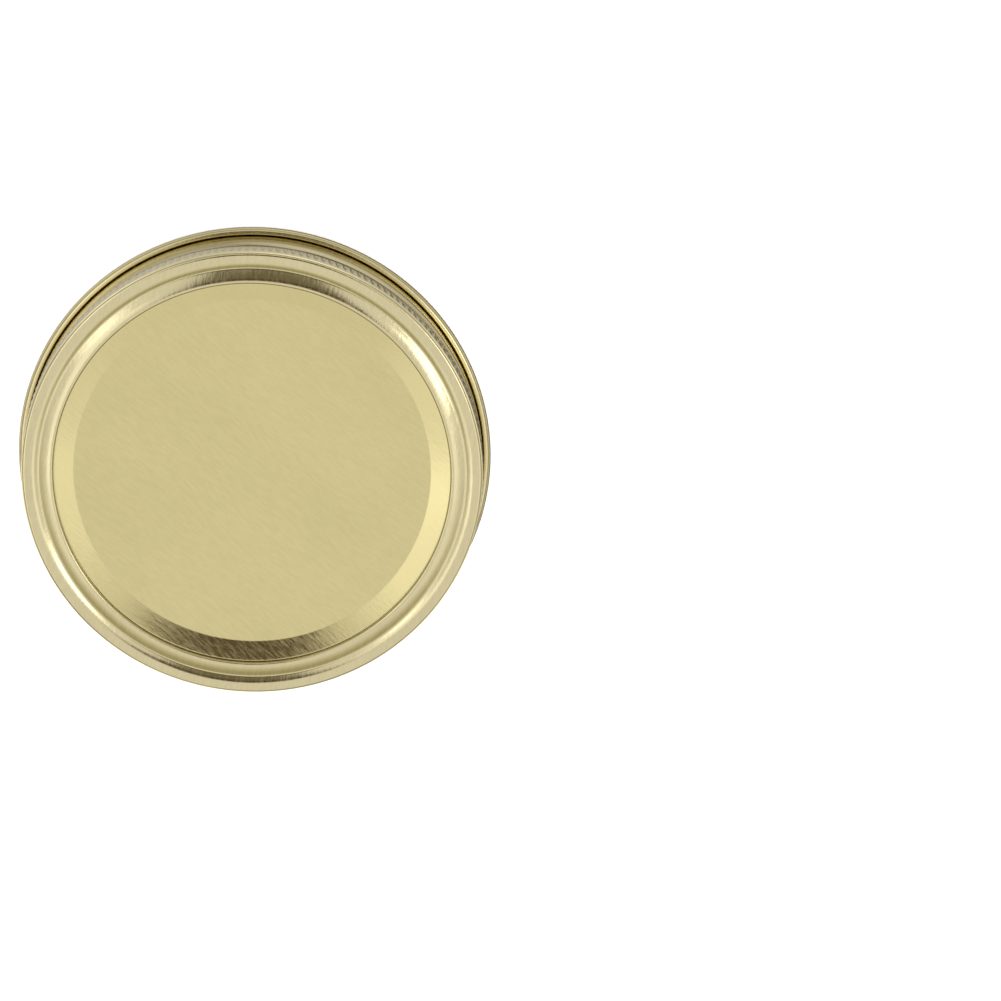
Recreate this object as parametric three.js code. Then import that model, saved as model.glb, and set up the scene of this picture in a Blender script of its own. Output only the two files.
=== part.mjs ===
// Two-piece canning lid for a wide-mouth jar: a screw band, a flat lid held under its top flange,
// and the ring of sealing compound bonded to the lid's underside.
// Millimetres, +Z up. The origin is on the axis, at the level of the band's lower edge.
import * as THREE from "three";

// Driving dimensions.
const BAND_OUTER_RADIUS = 44.1; // over the curled lower edge
const BAND_HEIGHT = 13.65;
const BAND_SHEET = 0.25;
const LID_SHEET = 0.22;
const SEGMENTS = 60; // flats round every ring

// Screw band.
const CURL_RADIUS = 0.85; // outside of the rolled edge's tube
const CURL_STEP = Math.PI / 5; // puts a narrow flat land at the lowest point
const CURL_POINTS = 9; // round the roll
const SHOULDER_RADIUS = 0.6; // between the wall and the top
const KNURL_STEP = 0.2; // the knurled strip under the shoulder stands this far outside the wall below it
const KNURL_BOTTOM = 9.3;
const OUTER_CREST_RADIUS = 41.4; // the outer ring is level from here to the shoulder
const OUTER_CREST_DROP = 0.25; // below the inner ring
const GROOVE_RADIUS = 39.7; // groove that presses the lid onto the jar's rim
const GROOVE_DEPTH = 0.75;
const INNER_CREST_RADIUS = 37.4; // highest line of the inner ring, and of the band
const OPENING_RADIUS = 37.0;
const LIP_DROP = 0.55; // how far the opening's edge turns down

// Rolled thread, right-handed, five threads per inch.
const THREAD_PITCH = 5.08;
const THREAD_DEPTH = 0.45;
const THREAD_HALF_WIDTH = 1.25;
const THREAD_START = (172 / 180) * Math.PI; // angle from +X at its lower end
const THREAD_FIRST_HEIGHT = 3.1;
const THREAD_TURNS = 0.8;
const THREAD_RUN_OUT = Math.PI / 7; // over which each end rises to full depth
const THREAD_FLOOR = 1.85; // the wall is plain below this height
const THREAD_CEILING = 8.6; // and above this one
const THREAD_ROWS = 9;

// Flat lid and its sealing compound.
const LID_RADIUS = 41.6;
const LID_CLEARANCE = 0.22; // under the band's groove
const PANEL_RADIUS = 33.2; // recessed flat panel
const PANEL_RECESS = 0.95;
const BEVEL_OUTER_RADIUS = 37.0;
const LID_EDGE_DROP = 0.75; // the rim turns down by this much
const LID_EDGE_RADIUS = 0.6;
const SEAL_INNER_RADIUS = 37.7;
const SEAL_OUTER_RADIUS = 40.7;
const SEAL_THICKNESS = 0.5;
const BOND_GAP = 0.05;

const GOLD = { color: 0xcfc28c, metalness: 1, roughness: 0.32 };
const COMPOUND = { color: 0x6d4a3c, metalness: 0, roughness: 0.6 };

// Band levels that follow from the dimensions above.
const wallLine = BAND_OUTER_RADIUS - 2 * CURL_RADIUS + BAND_SHEET / 2; // middle of the wall's sheet
const curlCentre = BAND_OUTER_RADIUS - CURL_RADIUS;
const curlHeight = CURL_RADIUS * Math.cos(CURL_STEP / 2); // rests the land on the ground
const curlLine = CURL_RADIUS - BAND_SHEET / 2;
const topLine = BAND_HEIGHT - BAND_SHEET / 2;
const grooveLine = topLine - GROOVE_DEPTH;

// Points along an arc, without its last one, so that arcs and lines can follow each other.
function arc(centreR, centreZ, radius, from, to, steps) {
  return Array.from({ length: steps }, (_, i) => {
    const a = from + ((to - from) * i) / steps;
    return new THREE.Vector2(centreR + radius * Math.cos(a), centreZ + radius * Math.sin(a));
  });
}

// Points along a smooth curve through the given (radius, height) pairs, ends included.
function smooth(pairs, steps) {
  return new THREE.SplineCurve(pairs.map(([r, z]) => new THREE.Vector2(r, z))).getPoints(steps);
}

// The closed section of a sheet whose middle follows the line, sheet thick.
function sheetSection(line, sheet) {
  const normals = line.map((point, i) => {
    const before = line[Math.max(i - 1, 0)];
    const after = line[Math.min(i + 1, line.length - 1)];
    const along = after.clone().sub(before).normalize();
    return new THREE.Vector2(-along.y, along.x).multiplyScalar(sheet / 2);
  });
  const left = line.map((point, i) => point.clone().add(normals[i]));
  const right = line.map((point, i) => point.clone().sub(normals[i]));
  return [...right, ...left.reverse(), right[0].clone()];
}

// The section of a disc: the line starts on the axis, and both faces end there.
function discSection(line, sheet) {
  const ring = sheetSection(line, sheet).slice(0, -1);
  ring[0].x = 0;
  ring[ring.length - 1].x = 0;
  return ring;
}

// Turns a section, in radius and height, round the Z axis.
function turned(section) {
  return new THREE.LatheGeometry(section, SEGMENTS).rotateX(Math.PI / 2);
}

// Eases from 0 to 1.
function ease(share) {
  return THREE.MathUtils.smoothstep(share, 0, 1);
}

// How far the rolled thread presses the wall inward at an angle and a height.
function threadDepth(angle, height) {
  const fullTurn = 2 * Math.PI;
  const turn = (angle - THREAD_START + fullTurn) % fullTurn;
  const left = THREAD_TURNS * fullTurn - turn;
  if (left <= 0) return 0;
  const level = THREAD_FIRST_HEIGHT + (THREAD_PITCH * turn) / fullTurn;
  const across = Math.abs(height - level) / THREAD_HALF_WIDTH;
  if (across >= 1) return 0;
  const ends = Math.min(ease(turn / THREAD_RUN_OUT), ease(left / THREAD_RUN_OUT));
  return THREAD_DEPTH * ends * 0.5 * (1 + Math.cos(Math.PI * across));
}

// Presses the thread into a turned band, both faces alike. Only the wall between floor and ceiling moves.
function rollThread(geometry) {
  const places = geometry.attributes.position;
  for (let i = 0; i < places.count; i++) {
    const x = places.getX(i);
    const y = places.getY(i);
    const z = places.getZ(i);
    const radius = Math.hypot(x, y);
    const onWall = Math.abs(radius - wallLine) < BAND_SHEET && z > THREAD_FLOOR && z < THREAD_CEILING;
    if (!onWall) continue;
    const depth = threadDepth(Math.atan2(y, x), z);
    places.setXYZ(i, (x * (radius - depth)) / radius, (y * (radius - depth)) / radius, z);
  }
  return geometry;
}

// The middle of the band's sheet, from the opening's lip over the top and down the wall to the curl.
function bandLine() {
  const outerCrest = topLine - OUTER_CREST_DROP;
  const knurlLine = wallLine + KNURL_STEP;
  const top = smooth(
    [
      [OPENING_RADIUS, topLine - LIP_DROP],
      [OPENING_RADIUS, topLine - 0.3],
      [OPENING_RADIUS + 0.12, topLine - 0.1],
      [INNER_CREST_RADIUS, topLine],
      [(INNER_CREST_RADIUS + GROOVE_RADIUS) / 2, topLine - 0.34],
      [GROOVE_RADIUS, grooveLine],
    ],
    9,
  );
  const outer = smooth(
    [
      [GROOVE_RADIUS, grooveLine],
      [GROOVE_RADIUS + 0.55, grooveLine + 0.26],
      [GROOVE_RADIUS + 1.2, outerCrest - 0.06],
      [OUTER_CREST_RADIUS, outerCrest],
    ],
    6,
  ).slice(1);
  const bend = SHOULDER_RADIUS - BAND_SHEET / 2;
  const shoulder = arc(knurlLine - bend, outerCrest - bend, bend, Math.PI / 2, 0, 4);
  const knurl = [new THREE.Vector2(knurlLine, outerCrest - bend), new THREE.Vector2(knurlLine, KNURL_BOTTOM)];
  const wall = Array.from({ length: THREAD_ROWS + 1 }, (_, i) => {
    const height = THREAD_CEILING + ((THREAD_FLOOR - THREAD_CEILING) * i) / THREAD_ROWS;
    return new THREE.Vector2(wallLine, height);
  });
  const rolled = CURL_STEP * CURL_POINTS;
  const curl = arc(curlCentre, curlHeight, curlLine, Math.PI, Math.PI + rolled, CURL_POINTS);
  return [...top, ...outer, ...shoulder, ...knurl, ...wall, ...curl];
}

// The middle of the lid's sheet, from the axis to its turned-down rim.
function lidLine(ringLine) {
  const panelLine = ringLine - PANEL_RECESS;
  const edge = LID_RADIUS - LID_SHEET / 2;
  return [
    new THREE.Vector2(0, panelLine),
    new THREE.Vector2(PANEL_RADIUS / 2, panelLine),
    new THREE.Vector2(PANEL_RADIUS, panelLine),
    new THREE.Vector2(PANEL_RADIUS + 0.35, panelLine + 0.05),
    new THREE.Vector2(BEVEL_OUTER_RADIUS - 0.45, ringLine - 0.06),
    new THREE.Vector2(BEVEL_OUTER_RADIUS, ringLine),
    ...arc(edge - LID_EDGE_RADIUS, ringLine - LID_EDGE_RADIUS, LID_EDGE_RADIUS, Math.PI / 2, 0, 5),
    new THREE.Vector2(edge, ringLine - LID_EDGE_RADIUS),
    new THREE.Vector2(edge, ringLine - LID_EDGE_DROP),
  ];
}

// The flowed-in compound: flat where it meets the lid and the jar, rounded at both sides.
function sealSection(top) {
  const half = SEAL_THICKNESS / 2;
  const inner = SEAL_INNER_RADIUS + half;
  const outer = SEAL_OUTER_RADIUS - half;
  const section = [
    ...arc(inner, top - half, half, Math.PI / 2, 1.5 * Math.PI, 4),
    new THREE.Vector2(inner, top - SEAL_THICKNESS),
    ...arc(outer, top - half, half, -Math.PI / 2, Math.PI / 2, 4),
    new THREE.Vector2(outer, top),
  ];
  return [...section, section[0].clone()];
}

function named(name, geometry, finish) {
  const mesh = new THREE.Mesh(geometry, new THREE.MeshStandardMaterial(finish));
  mesh.name = name;
  return mesh;
}

const ringLine = grooveLine - BAND_SHEET / 2 - LID_CLEARANCE - LID_SHEET / 2;
const lid = new THREE.Group();
lid.add(
  named("screw_band", rollThread(turned(sheetSection(bandLine(), BAND_SHEET))), GOLD),
  named("flat_lid", turned(discSection(lidLine(ringLine), LID_SHEET)), GOLD),
  named("sealing_ring", turned(sealSection(ringLine - LID_SHEET / 2 - BOND_GAP)), COMPOUND),
);

export default lid;
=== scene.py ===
"""A two-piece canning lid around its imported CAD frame: screw band, flat lid and sealing ring.

Blender works in metres. The sections below are in millimetres, in radius and height, and are scaled once
when a mesh is made. +Z is up and the lid's axis is the Z axis, as in the frame.
"""

import math

import bpy
import numpy as np
from mathutils import Matrix, Vector


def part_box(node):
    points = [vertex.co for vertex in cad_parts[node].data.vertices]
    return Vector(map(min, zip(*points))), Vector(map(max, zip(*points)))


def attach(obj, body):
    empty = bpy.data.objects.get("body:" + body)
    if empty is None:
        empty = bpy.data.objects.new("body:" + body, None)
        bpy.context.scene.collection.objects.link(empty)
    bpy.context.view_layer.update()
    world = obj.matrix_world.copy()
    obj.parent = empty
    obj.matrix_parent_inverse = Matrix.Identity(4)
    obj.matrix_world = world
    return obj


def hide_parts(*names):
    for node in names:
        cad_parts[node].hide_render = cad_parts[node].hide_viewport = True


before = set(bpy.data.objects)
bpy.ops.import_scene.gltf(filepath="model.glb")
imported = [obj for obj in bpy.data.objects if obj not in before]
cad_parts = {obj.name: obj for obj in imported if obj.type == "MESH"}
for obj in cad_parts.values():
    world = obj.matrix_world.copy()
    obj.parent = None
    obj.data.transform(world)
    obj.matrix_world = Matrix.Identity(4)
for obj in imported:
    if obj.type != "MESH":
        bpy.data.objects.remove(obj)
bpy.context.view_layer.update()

MM = 0.001

# The pieces' lowest and highest corners in the frame, in millimetres.
_, BAND_HIGH = (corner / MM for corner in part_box("screw_band"))
LID_LOW, LID_HIGH = (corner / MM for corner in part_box("flat_lid"))
SEAL_LOW, SEAL_HIGH = (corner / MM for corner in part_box("sealing_ring"))

# Screw band.
BAND_SHEET = 0.25
CURL_RADIUS = 0.85
CURL_TURN = math.radians(308)
LIP_RADIUS = 0.28
LIP_DROP = 0.25  # the lip goes this much further down below its bend
KNURL_STEP = 0.2  # the knurled strip stands this far outside the wall below it
KNURL_TOP = 2.3  # the ribs' upper ends, below the crest
KNURL_BOTTOM = 4.4  # their lower ends
STEP_BOTTOM = 5.0  # the strip has come in to the wall at this depth below the crest
KNURL_DEPTH = 0.13  # the ribs go this far out and in from the strip
KNURL_FADE_OUTSIDE = 0.2  # each rib's end fades from this far beyond the strip
KNURL_FADE_INSIDE = 0.4  # to this far inside it
RIBS = 188
RIB_SAMPLES = 4  # points round the band for each rib

# How many points each stretch of the band's line has.
LIP_STEPS = 3
TOP_STEPS = 21
SHOULDER_STEPS = 5
KNURL_LEVELS = 10
WALL_LEVELS = 13
CURL_STEPS = 12
KNURL_START = 0.3  # the first level lies this far above the ribs' upper ends
WALL_END = 0.4  # the last one lies this far above the curl's middle
SHAPING_TOP = 0.5  # ribs and thread leave the sheet alone higher than this above the ribs' upper ends

# How steeply the band's top climbs outward, in degrees, at each radius: lip, flange, groove, outer ring.
TOP_SLOPES = (
    (37.25, 0),
    (37.5, -10),
    (37.9, -15),
    (38.3, -18),
    (38.7, -20),
    (39.05, -24),
    (39.3, -25),
    (39.5, -20),
    (39.65, -8),
    (39.72, 3),
    (39.9, 22),
    (40.1, 28),
    (40.3, 24),
    (40.6, 18),
    (40.9, 13),
    (41.15, 6),
    (41.45, 2),
    (42.2, 0),
)

# Rolled thread, right-handed, five threads per inch.
THREAD_PITCH = 5.08
THREAD_DEPTH = 0.45
THREAD_HALF_WIDTH = 1.25
THREAD_START = math.radians(172)
THREAD_FIRST_HEIGHT = 3.1
THREAD_TURNS = 0.8
THREAD_RUN_OUT = math.pi / 7

# Flat lid. The bevel between panel and rim is a plain cone with a tight bend at each end.
LID_SHEET = 0.22
LID_SEGMENTS = 480
PANEL_RADII = (4, 12, 20, 27, 31)
BEVEL_SLOPES = ((33.05, 0), (33.25, 15), (36.75, 15), (37.05, 0))
BEVEL_STEPS = 14
RING_STEPS = 5
RIM_RADIUS = 0.6
RIM_STEPS = 7
RIM_END = 0.35  # where the turned-down rim ends, as a share of the lid's height

# Ring of sealing compound.
SEAL_WIDTH = 3.0
SEAL_HOLLOW = 0.06  # its underside is this much hollow between its rounded sides
SEAL_STEPS = 8

# Where points are placed on a line that climbs by slopes.
FINE_STEPS = 20  # places tried for each one kept
RADIUS_WEIGHT = 0.25  # how much a millimetre of radius counts beside a change of 1 in gradient


# ---------------------------------------------------------------------------------------------- sections


def arc(centre, radius, start, end, steps):
    """Points from start to end, both angles in radians, with both ends."""
    angles = np.linspace(start, end, steps + 1)
    return [(centre[0] + radius * math.cos(a), centre[1] + radius * math.sin(a)) for a in angles]


def straight(start, end, steps):
    """Points between two places, without either end."""
    shares = np.linspace(0, 1, steps + 1)[1:-1]
    return [(start[0] + (end[0] - start[0]) * s, start[1] + (end[1] - start[1]) * s) for s in shares]


def climb(slopes, steps):
    """Radii and heights of a line that has each slope at its radius, with its highest point at 0.

    The points lie closest where the line bends.
    """
    radii, degrees = zip(*slopes)
    fine = np.linspace(radii[0], radii[-1], FINE_STEPS * steps + 1)
    gradient = np.tan(np.radians(np.interp(fine, radii, degrees)))
    rise = np.concatenate([[0], np.cumsum((gradient[1:] + gradient[:-1]) / 2 * np.diff(fine))])
    turn = np.concatenate([[0], np.cumsum(np.hypot(RADIUS_WEIGHT * np.diff(fine), np.diff(gradient)))])
    picks = np.interp(np.linspace(0, turn[-1], steps + 1), turn, np.arange(len(fine)))
    places = np.round(picks).astype(int)
    return [(fine[i], rise[i] - max(rise)) for i in places]


def thickened(line, sheet):
    """The closed section of a sheet whose middle follows the line: one side out, and the other back."""
    points = np.array(line)
    along = np.gradient(points, axis=0)
    along /= np.linalg.norm(along, axis=1)[:, None]
    normals = np.stack([-along[:, 1], along[:, 0]], axis=1) * sheet / 2
    return np.concatenate([points + normals, (points - normals)[::-1]])


def smooth_step(value, start, end):
    """0 before start, 1 after end, and smooth between them."""
    share = np.clip((value - start) / (end - start), 0, 1)
    return share * share * (3 - 2 * share)


def band_line():
    """The middle of the band's sheet, from the opening's lip over the top and down the wall to the curl."""
    top = BAND_HIGH.z - BAND_SHEET / 2
    wall = BAND_HIGH.x - 2 * CURL_RADIUS + BAND_SHEET / 2
    ring = [(radius, top + height) for radius, height in climb(TOP_SLOPES, TOP_STEPS)]
    lip = arc((ring[0][0], ring[0][1] - LIP_RADIUS), LIP_RADIUS, math.pi, math.pi / 2, LIP_STEPS)[:-1]
    hem = (lip[0][0], lip[0][1] - LIP_DROP)
    edge, edge_height = ring[-1]
    bend = wall + KNURL_STEP - edge
    shoulder = arc((edge, edge_height - bend), bend, math.pi / 2, 0, SHOULDER_STEPS)[1:]
    knurl_levels = np.linspace(top - KNURL_TOP + KNURL_START, top - STEP_BOTTOM, KNURL_LEVELS)
    wall_levels = np.linspace(top - STEP_BOTTOM, CURL_RADIUS + WALL_END, WALL_LEVELS)[1:]
    side = []
    for level in [*knurl_levels, *wall_levels]:
        side.append((wall + KNURL_STEP * smooth_step(level, top - STEP_BOTTOM, top - KNURL_BOTTOM), level))
    curl_centre = (BAND_HIGH.x - CURL_RADIUS, CURL_RADIUS)
    curl = arc(curl_centre, CURL_RADIUS - BAND_SHEET / 2, math.pi, math.pi + CURL_TURN, CURL_STEPS)
    return [hem] + lip + ring + shoulder + side + curl


def lid_line():
    """The middle of the lid's sheet, from near the axis to the end of its turned-down rim."""
    panel = LID_LOW.z + LID_SHEET / 2
    ring = LID_HIGH.z - LID_SHEET / 2
    edge = LID_HIGH.x - LID_SHEET / 2
    cone = climb(BEVEL_SLOPES, BEVEL_STEPS)
    lift = (ring - panel) / -cone[0][1]
    flat = [(radius, panel) for radius in PANEL_RADII]
    bevel = [(radius, ring + height * lift) for radius, height in cone]
    outer = straight(bevel[-1], (edge - RIM_RADIUS, ring), RING_STEPS)
    rim = arc((edge - RIM_RADIUS, ring - RIM_RADIUS), RIM_RADIUS, math.pi / 2, 0, RIM_STEPS)
    end = (edge, LID_LOW.z + (ring - LID_LOW.z) * RIM_END)
    return flat + bevel + outer + rim + [end]


# ------------------------------------------------------------------------------------------------ meshes


def build_mesh(name, radii, heights, closed, materials, index_of):
    """A mesh from grids of radius and height: rows follow the section, and columns go round.

    A closed section makes a ring. An open one gets a point on the axis at each end, and makes a disc.
    index_of gives the material of the faces after each row.
    """
    rows, columns = radii.shape
    angles = np.arange(columns) * 2 * math.pi / columns
    points = np.stack([radii * np.cos(angles), radii * np.sin(angles), heights], axis=2) * MM
    vertices = points.reshape(-1, 3)
    row, column = np.meshgrid(np.arange(rows if closed else rows - 1), np.arange(columns), indexing="ij")
    below = (row + 1) % rows
    beside = (column + 1) % columns
    quads = np.stack(
        [row * columns + column, below * columns + column, below * columns + beside, row * columns + beside],
        axis=2,
    )
    faces = quads.reshape(-1, 4).tolist()
    indices = [index_of(r) for r in row[:, 0] for _ in range(columns)]
    if not closed:
        vertices = np.concatenate([vertices, [[0, 0, heights[0, 0] * MM], [0, 0, heights[-1, 0] * MM]]])
        first, last = rows * columns, rows * columns + 1
        start = (rows - 1) * columns
        for c in range(columns):
            following = (c + 1) % columns
            faces.append([first, c, following])
            faces.append([last, start + following, start + c])
        indices += [index_of(0), index_of(rows - 2)] * columns
    mesh = bpy.data.meshes.new(name)
    mesh.from_pydata(vertices.tolist(), [], faces)
    for material in materials:
        mesh.materials.append(material)
    mesh.polygons.foreach_set("material_index", indices)
    mesh.polygons.foreach_set("use_smooth", [True] * len(faces))
    mesh.update()
    piece = bpy.data.objects.new(name, mesh)
    bpy.context.scene.collection.objects.link(piece)
    return piece


def thread_depth(angles, heights):
    """How far the rolled thread presses the wall inward at each angle and height."""
    turn = (angles - THREAD_START) % (2 * math.pi)
    left = THREAD_TURNS * 2 * math.pi - turn
    level = THREAD_FIRST_HEIGHT + THREAD_PITCH * turn / (2 * math.pi)
    across = np.clip(np.abs(heights - level) / THREAD_HALF_WIDTH, 0, 1)
    ends = np.minimum(smooth_step(turn, 0, THREAD_RUN_OUT), smooth_step(left, 0, THREAD_RUN_OUT))
    return THREAD_DEPTH * ends * 0.5 * (1 + np.cos(math.pi * across))


def knurl_rise(angles, heights):
    """How far the knurl's ribs stand out at each angle and height."""
    top = BAND_HIGH.z - KNURL_TOP
    bottom = BAND_HIGH.z - KNURL_BOTTOM
    lower_ends = smooth_step(heights, bottom - KNURL_FADE_OUTSIDE, bottom + KNURL_FADE_INSIDE)
    upper_ends = smooth_step(-heights, -top - KNURL_FADE_OUTSIDE, -top + KNURL_FADE_INSIDE)
    return KNURL_DEPTH * (lower_ends * upper_ends) * np.cos(RIBS * angles)


def make_band(gold, edge):
    """The stamped, rolled and knurled ring."""
    section = thickened(band_line(), BAND_SHEET)
    columns = RIBS * RIB_SAMPLES
    angles = np.arange(columns) * 2 * math.pi / columns
    radii = np.repeat(section[:, :1], columns, axis=1)
    heights = np.repeat(section[:, 1:], columns, axis=1)
    inside = BAND_HIGH.x - 2 * CURL_RADIUS - BAND_SHEET / 2
    above_curl = heights > 2 * CURL_RADIUS
    below_shoulder = heights < BAND_HIGH.z - KNURL_TOP + SHAPING_TOP
    on_wall = (radii > inside) & above_curl & below_shoulder
    shaped = knurl_rise(angles, heights) - thread_depth(angles, heights)
    radii = radii + np.where(on_wall, shaped, 0)
    half = len(section) // 2
    ends = (half - 1, len(section) - 1)
    band = build_mesh("band_sheet", radii, heights, True, [gold, edge], lambda row: int(row in ends))
    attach(band, "band")
    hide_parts("screw_band")
    return band


def make_lid(gold, inside, edge):
    """The stamped disc that lies under the band's flange."""
    section = thickened(lid_line(), LID_SHEET)
    radii = np.repeat(section[:, :1], LID_SEGMENTS, axis=1)
    heights = np.repeat(section[:, 1:], LID_SEGMENTS, axis=1)
    half = len(section) // 2

    def index_of(row):
        """Gold above, the inside finish below, and the cut edge between them."""
        if row == half - 1:
            return 2
        return int(row >= half)

    lid = build_mesh("lid_disc", radii, heights, False, [gold, inside, edge], index_of)
    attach(lid, "lid")
    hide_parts("flat_lid")
    return lid


def make_seal(compound):
    """The ring of compound, flowed into the channel under the lid."""
    low, high = SEAL_LOW.z, SEAL_HIGH.z
    outer = SEAL_HIGH.x
    inner = outer - SEAL_WIDTH
    half = (high - low) / 2
    side_in = arc((inner + half, low + half), half, math.pi / 2, 1.5 * math.pi, SEAL_STEPS)
    side_out = arc((outer - half, low + half), half, -math.pi / 2, math.pi / 2, SEAL_STEPS)
    hollow = []
    for radius, height in straight(side_in[-1], side_out[0], SEAL_STEPS):
        across = (radius - inner - half) / (outer - inner - 2 * half)
        hollow.append((radius, height + SEAL_HOLLOW * math.sin(math.pi * across)))
    section = np.array(side_in + hollow + side_out)[::-1]
    radii = np.repeat(section[:, :1], LID_SEGMENTS, axis=1)
    heights = np.repeat(section[:, 1:], LID_SEGMENTS, axis=1)
    seal = build_mesh("seal_compound", radii, heights, True, [compound], lambda row: 0)
    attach(seal, "lid")
    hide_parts("sealing_ring")
    return seal


# --------------------------------------------------------------------------------------------- materials

# Most of a noise field lies between these values.
NOISE_LOW = 0.35
NOISE_HIGH = 0.65

# The gold's grain: stretch, scale and detail of the fine streaks, and of the cloudiness under them.
STREAKS = (5, 480, 2)
CLOUDS = (2, 35, 2)
STREAK_SHARE = 0.6  # of the change in tone; the clouds make the rest
GOLD_TONE = (0.93, 1.02)  # darkest and palest, as shares of the colour
GOLD_ROUGHNESS = (0.13, 0.21)
GOLD_COAT_ROUGHNESS = 0.12
GOLD_BUMP = (0.35, 0.00003)  # strength, and depth in metres

# The plain finishes.
PLAIN_DETAIL = 5
PLAIN_TONE = 0.86  # darkest, as a share of the colour
PLAIN_NOISE = (0.3, 0.7)  # field values at the ends of the roughness
PLAIN_SPREAD = 0.06  # how far the roughness goes each way
PLAIN_BUMP_STRENGTH = 0.3


def new_material(name):
    """An empty node material with a Principled shader."""
    material = bpy.data.materials.new(name)
    material.use_nodes = True
    return material, material.node_tree, material.node_tree.nodes["Principled BSDF"]


def node(tree, kind, **settings):
    """A node with some of its properties and input values set."""
    made = tree.nodes.new(kind)
    for key, value in settings.items():
        if key in made.inputs:
            made.inputs[key].default_value = value
        else:
            setattr(made, key, value)
    return made


def grain_field(tree, turn, stretch, scale, detail):
    """Noise drawn out into lines that run at an angle to the X axis, as rolling leaves them in sheet."""
    places = node(tree, "ShaderNodeTexCoord")
    turned = node(tree, "ShaderNodeMapping", vector_type="TEXTURE")
    turned.inputs["Rotation"].default_value = (0, 0, math.radians(turn))
    turned.inputs["Scale"].default_value = (1, 1 / stretch, 1)
    noise = node(tree, "ShaderNodeTexNoise", Scale=scale, Detail=detail, Roughness=0.6)
    tree.links.new(places.outputs["Object"], turned.inputs["Vector"])
    tree.links.new(turned.outputs["Vector"], noise.inputs["Vector"])
    return noise.outputs["Fac"]


def ramp(tree, field, start, end, low, high):
    """Maps a field from start..end to low..high."""
    mapped = node(tree, "ShaderNodeMapRange")
    for name, value in (("From Min", start), ("From Max", end), ("To Min", low), ("To Max", high)):
        mapped.inputs[name].default_value = value
    tree.links.new(field, mapped.inputs["Value"])
    return mapped.outputs["Result"]


def math_node(tree, operation, *operands):
    """The result of a calculation on fields and plain numbers."""
    made = node(tree, "ShaderNodeMath", operation=operation)
    for socket, operand in zip(made.inputs, operands):
        if isinstance(operand, (int, float)):
            socket.default_value = operand
        else:
            tree.links.new(operand, socket)
    return made.outputs["Value"]


def mix_tone(tree, shader, share, darkest, palest):
    """Colours a shader from darkest to palest, as the share goes from 0 to 1."""
    tone = node(tree, "ShaderNodeMix", data_type="RGBA")
    tone.inputs["A"].default_value = (*darkest, 1)
    tone.inputs["B"].default_value = (*palest, 1)
    tree.links.new(share, tone.inputs["Factor"])
    tree.links.new(tone.outputs["Result"], shader.inputs["Base Color"])


def add_bump(tree, shader, field, strength, depth):
    """Gives a shader's surface the field's relief."""
    bump = node(tree, "ShaderNodeBump", Strength=strength, Distance=depth)
    tree.links.new(field, bump.inputs["Height"])
    tree.links.new(bump.outputs["Normal"], shader.inputs["Normal"])


def gold_lacquer(name, colour, turn, coat):
    """Gold lacquer over rolled tinplate: fine streaks in tone, gloss and height."""
    material, tree, shader = new_material(name)
    shader.inputs["Metallic"].default_value = 1.0
    shader.inputs["Coat Weight"].default_value = coat
    shader.inputs["Coat Roughness"].default_value = GOLD_COAT_ROUGHNESS
    streaks = grain_field(tree, turn, *STREAKS)
    clouds = grain_field(tree, turn, *CLOUDS)
    streak_tone = ramp(tree, streaks, NOISE_LOW, NOISE_HIGH, 0, STREAK_SHARE)
    cloud_tone = ramp(tree, clouds, NOISE_LOW, NOISE_HIGH, 0, 1 - STREAK_SHARE)
    darkest, palest = ([c * share for c in colour] for share in GOLD_TONE)
    mix_tone(tree, shader, math_node(tree, "ADD", streak_tone, cloud_tone), darkest, palest)
    tree.links.new(ramp(tree, streaks, NOISE_LOW, NOISE_HIGH, *GOLD_ROUGHNESS), shader.inputs["Roughness"])
    add_bump(tree, shader, streaks, *GOLD_BUMP)
    return material


def plain_finish(name, colour, metallic, roughness, scale, depth):
    """A finish with fine uneven tone and surface."""
    material, tree, shader = new_material(name)
    shader.inputs["Metallic"].default_value = metallic
    field = grain_field(tree, 0, 1, scale, PLAIN_DETAIL)
    darkest = [c * PLAIN_TONE for c in colour]
    mix_tone(tree, shader, ramp(tree, field, NOISE_LOW, NOISE_HIGH, 0, 1), darkest, colour)
    gloss = ramp(tree, field, *PLAIN_NOISE, roughness - PLAIN_SPREAD, roughness + PLAIN_SPREAD)
    tree.links.new(gloss, shader.inputs["Roughness"])
    add_bump(tree, shader, field, PLAIN_BUMP_STRENGTH, depth)
    return material


# ------------------------------------------------------------------------------------------------- stage

# The camera looks down on the lid and leans towards +Y, so that the wall shows on that side.
CAMERA_DISTANCE = 1.496
CAMERA_TILT = math.radians(17.69)
CAMERA_LEAN = math.radians(81.9)
CAMERA_LENS = 287.7
AIM_RIGHT = math.radians(1.76)  # the lid stands left of the middle of the view, and a little above it
AIM_DOWN = math.radians(0.331)


def lean_turn(tilt, lean):
    """Turns straight up towards a lean direction."""
    return Matrix.Rotation(tilt, 4, Vector((-math.sin(lean), math.cos(lean), 0)))


def place_camera():
    """The camera, high above the lid and a little to the side of its axis."""
    data = bpy.data.cameras.new("camera")
    data.lens = CAMERA_LENS
    camera = bpy.data.objects.new("camera", data)
    bpy.context.scene.collection.objects.link(camera)
    middle = Matrix.Translation((0, 0, CURL_RADIUS * MM))
    away = Matrix.Translation((0, 0, CAMERA_DISTANCE))
    aim = Matrix.Rotation(-AIM_RIGHT, 4, "Y") @ Matrix.Rotation(-AIM_DOWN, 4, "X")
    camera.matrix_world = middle @ lean_turn(CAMERA_TILT, CAMERA_LEAN) @ away @ aim
    bpy.context.scene.camera = camera


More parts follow.
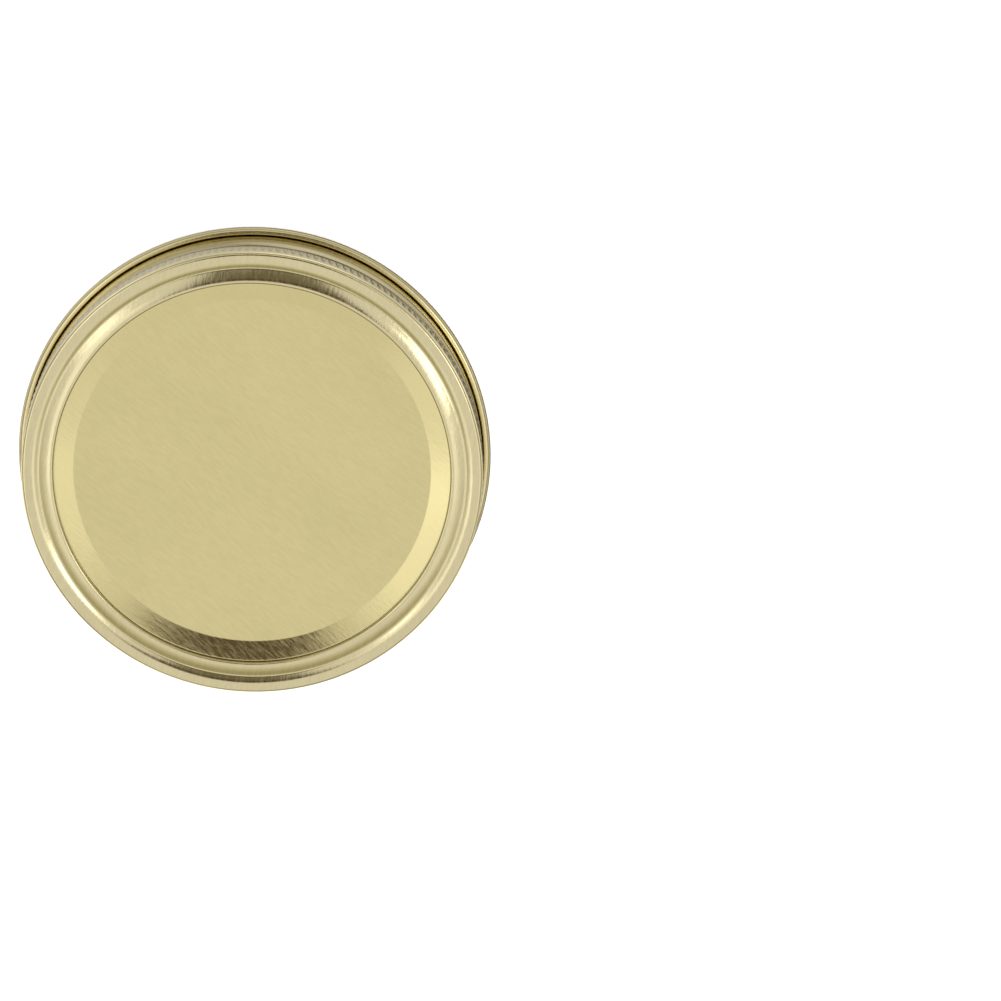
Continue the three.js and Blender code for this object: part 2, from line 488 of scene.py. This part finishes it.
def glow(name, colour, strength):
    """A material that only emits, for cards and for the table in reflections."""
    material = bpy.data.materials.new(name)
    material.use_nodes = True
    tree = material.node_tree
    tree.nodes.clear()
    out = tree.nodes.new("ShaderNodeOutputMaterial")
    light = tree.nodes.new("ShaderNodeEmission")
    light.inputs["Color"].default_value = (*colour, 1)
    light.inputs["Strength"].default_value = strength
    tree.links.new(light.outputs["Emission"], out.inputs["Surface"])
    return material


def sheet_of(name, width, height, material):
    """A flat rectangle round the origin that isn't part of the lid."""
    mesh = bpy.data.meshes.new(name)
    w, h = width / 2, height / 2
    mesh.from_pydata([(-w, -h, 0), (w, -h, 0), (w, h, 0), (-w, h, 0)], [], [(0, 1, 2, 3)])
    mesh.materials.append(material)
    sheet = bpy.data.objects.new(name, mesh)
    bpy.context.scene.collection.objects.link(sheet)
    return sheet


def only_in_reflections(sheet):
    """Hides a sheet from everything but glossy surfaces."""
    sheet.visible_camera = False
    sheet.visible_diffuse = False
    sheet.visible_shadow = False


def card(name, polar, azimuth, distance, width, height, colour):
    """A flat glowing card that faces the lid, seen only in reflections."""
    sheet = sheet_of(f"{name}_card", width, height, glow(f"{name}_dark", colour, 1))
    turn = lean_turn(math.radians(polar), math.radians(azimuth))
    sheet.matrix_world = turn @ Matrix.Translation((0, 0, distance))
    only_in_reflections(sheet)


def softbox(name, polar, azimuth, distance, width, height, radiance):
    """A rectangular area light that faces the lid."""
    data = bpy.data.lights.new(name, "AREA")
    data.shape = "RECTANGLE"
    data.size = width
    data.size_y = height
    data.energy = radiance * math.pi * width * height
    light = bpy.data.objects.new(name, data)
    bpy.context.scene.collection.objects.link(light)
    turn = lean_turn(math.radians(polar), math.radians(azimuth))
    light.matrix_world = turn @ Matrix.Translation((0, 0, distance))
    light.visible_camera = False
    return light


def shade_ramp(tree, field, stops):
    """Colours a field through stops of position and colour, in rising order."""
    shades = node(tree, "ShaderNodeValToRGB")
    elements = shades.color_ramp.elements
    while len(elements) < len(stops):
        elements.new(0.5)
    for element, (position, colour) in zip(elements, stops):
        element.position = position
        element.color = (*colour, 1)
    tree.links.new(field, shades.inputs["Fac"])
    return shades.outputs["Color"]


TABLE_SIZE = 12.0  # in metres, so that its edges are far out of view


def table_white():
    """Matt white."""
    material, _, shader = new_material("table_white")
    shader.inputs["Base Color"].default_value = (0.8, 0.8, 0.8, 1)
    shader.inputs["Roughness"].default_value = 0.9
    shader.inputs["Specular IOR Level"].default_value = 0.1
    shader.inputs["Emission Color"].default_value = (1, 1, 1, 1)
    shader.inputs["Emission Strength"].default_value = 0.3
    return material


# Painted contact shadow on the table that only reflections see: its colour at each distance past the band's
# edge, in millimetres.
CONTACT_SHADES = (
    (0, (0.11, 0.09, 0.06)),
    (0.6, (0.31, 0.29, 0.24)),
    (1.2, (0.48, 0.47, 0.44)),
    (3, (0.6, 0.59, 0.57)),
    (12, (0.95, 0.95, 0.93)),
)
CONTACT_SHIFT = 1.6  # the contact shadow's centre lies this far right of the axis, in millimetres

# Further out, painted light makes the table in reflections brighter and dimmer by turns round the lid, which
# shows the knurl from every side.
TABLE_SECTORS = 6
SECTOR_CONTRAST = 0.35
SECTOR_START = 10  # where the sectors begin to show, in millimetres past the band's edge
SECTOR_FULL = 25  # where they are at full contrast


def contact_shadow_glow():
    """A glow that is dim beside the band, a painted contact shadow such as a white table has, with painted
    brighter and dimmer sectors further out.
    """
    material = glow("contact_shadow_glow", (1, 1, 1), 1)
    tree = material.node_tree
    places = node(tree, "ShaderNodeTexCoord")
    radius = node(tree, "ShaderNodeVectorMath", operation="DISTANCE")
    radius.inputs[1].default_value = (CONTACT_SHIFT * MM, 0, 0)
    tree.links.new(places.outputs["Object"], radius.inputs[0])
    # Painted contact shadow: dark at the band's edge, lighter further out.
    reach = CONTACT_SHADES[-1][0]
    edge = BAND_HIGH.x * MM
    share = ramp(tree, radius.outputs["Value"], edge, edge + reach * MM, 0, 1)
    shades = shade_ramp(tree, share, [(distance / reach, colour) for distance, colour in CONTACT_SHADES])
    light = tree.nodes["Emission"]
    tree.links.new(shades, light.inputs["Color"])
    # Painted light: brighter and dimmer sectors round the lid, further out.
    parts = node(tree, "ShaderNodeSeparateXYZ")
    tree.links.new(places.outputs["Object"], parts.inputs["Vector"])
    azimuth = math_node(tree, "ARCTAN2", parts.outputs["Y"], parts.outputs["X"])
    wave = math_node(tree, "SINE", math_node(tree, "MULTIPLY", azimuth, TABLE_SECTORS))
    start, full = edge + SECTOR_START * MM, edge + SECTOR_FULL * MM
    contrast = ramp(tree, radius.outputs["Value"], start, full, 0, SECTOR_CONTRAST)
    tree.links.new(math_node(tree, "MULTIPLY_ADD", wave, contrast, 1), light.inputs["Strength"])
    return material


def make_tables():
    """A white table, and one in the same place that only reflections see, which carries painted shade and
    light.
    """
    sheet_of("table", TABLE_SIZE, TABLE_SIZE, table_white()).visible_glossy = False
    only_in_reflections(sheet_of("table_in_reflections", TABLE_SIZE, TABLE_SIZE, contact_shadow_glow()))


# The colour of the surroundings at each angle from straight up, in degrees.
SKY = (
    (90, (0.6, 0.58, 0.5)),
    (80, (0.46, 0.43, 0.31)),
    (70, (0.38, 0.355, 0.22)),
    (60, (0.46, 0.435, 0.3)),
    (52, (0.68, 0.66, 0.57)),
    (45, (0.81, 0.81, 0.81)),
)


def make_sky():
    """Soft white surroundings with a darker, warmer belt above the horizon."""
    world = bpy.data.worlds.new("studio")
    world.use_nodes = True
    tree = world.node_tree
    places = node(tree, "ShaderNodeTexCoord")
    parts = node(tree, "ShaderNodeSeparateXYZ")
    tree.links.new(places.outputs["Generated"], parts.inputs["Vector"])
    stops = [(math.cos(math.radians(polar)), colour) for polar, colour in SKY]
    tree.links.new(shade_ramp(tree, parts.outputs["Z"], stops), tree.nodes["Background"].inputs["Color"])
    bpy.context.scene.world = world


# Name, degrees from straight up, azimuth in degrees, then distance, width and height in metres, and radiance.
SOFTBOXES = (
    ("softbox_right", 34, 8, 1.2, 0.26, 0.33, 2.0),
    ("softbox_low_right", 30, -26, 1.2, 0.28, 0.4, 0.18),
    ("softbox_long_right", 33, -38, 1.2, 0.34, 0.75, 0.12),
    ("softbox_left", 28, 186, 1.2, 0.34, 0.72, 0.38),
    ("softbox_low_left", 37, 220, 1.2, 0.36, 0.44, 0.17),
    ("softbox_high_left", 38, 158, 1.2, 0.25, 0.25, 0.8),
)
FILL = ("fill", 0, 0, 2.5, 2.0, 2.0, 5.5)

# The same for the camera, its stand and the dark front of the room, with a colour in place of the radiance.
CARDS = (
    ("camera", 9.1, 81.5, 0.9, 0.437, 0.19, (0.07, 0.04, 0.02)),
    ("stand", 25.5, 87, 0.9, 0.437, 0.334, (0.16, 0.145, 0.095)),
    ("front", 79, 270, 1.0, 3.0, 0.38, (0.3, 0.28, 0.24)),
)


def light_scene():
    """Soft surroundings, softboxes at both sides, a fill light, and what is dark round the lid."""
    bpy.context.scene.view_settings.view_transform = "Standard"
    make_sky()
    for row in SOFTBOXES:
        softbox(*row)
    softbox(*FILL).visible_glossy = False
    for row in CARDS:
        card(*row)


# ------------------------------------------------------------------------------------------ the whole scene

BAND_GOLD = (0.775, 0.68, 0.4)
LID_GOLD = (0.775, 0.672, 0.335)
INSIDE_GOLD = (0.74, 0.66, 0.43)
CUT_TIN = (0.66, 0.65, 0.62)
COMPOUND_BROWN = (0.30, 0.16, 0.12)

place_camera()
light_scene()
make_tables()

band_gold = gold_lacquer("band_gold", BAND_GOLD, turn=80, coat=0.4)
lid_gold = gold_lacquer("lid_gold", LID_GOLD, turn=-42, coat=0.25)
lid_inside = plain_finish("lid_inside", INSIDE_GOLD, metallic=0.6, roughness=0.35, scale=300, depth=0.00001)
cut_edge = plain_finish("cut_edge", CUT_TIN, metallic=1.0, roughness=0.35, scale=600, depth=0.00001)
compound = plain_finish("compound", COMPOUND_BROWN, metallic=0.0, roughness=0.5, scale=500, depth=0.00003)
make_band(band_gold, cut_edge)
make_lid(lid_gold, lid_inside, cut_edge)
make_seal(compound)
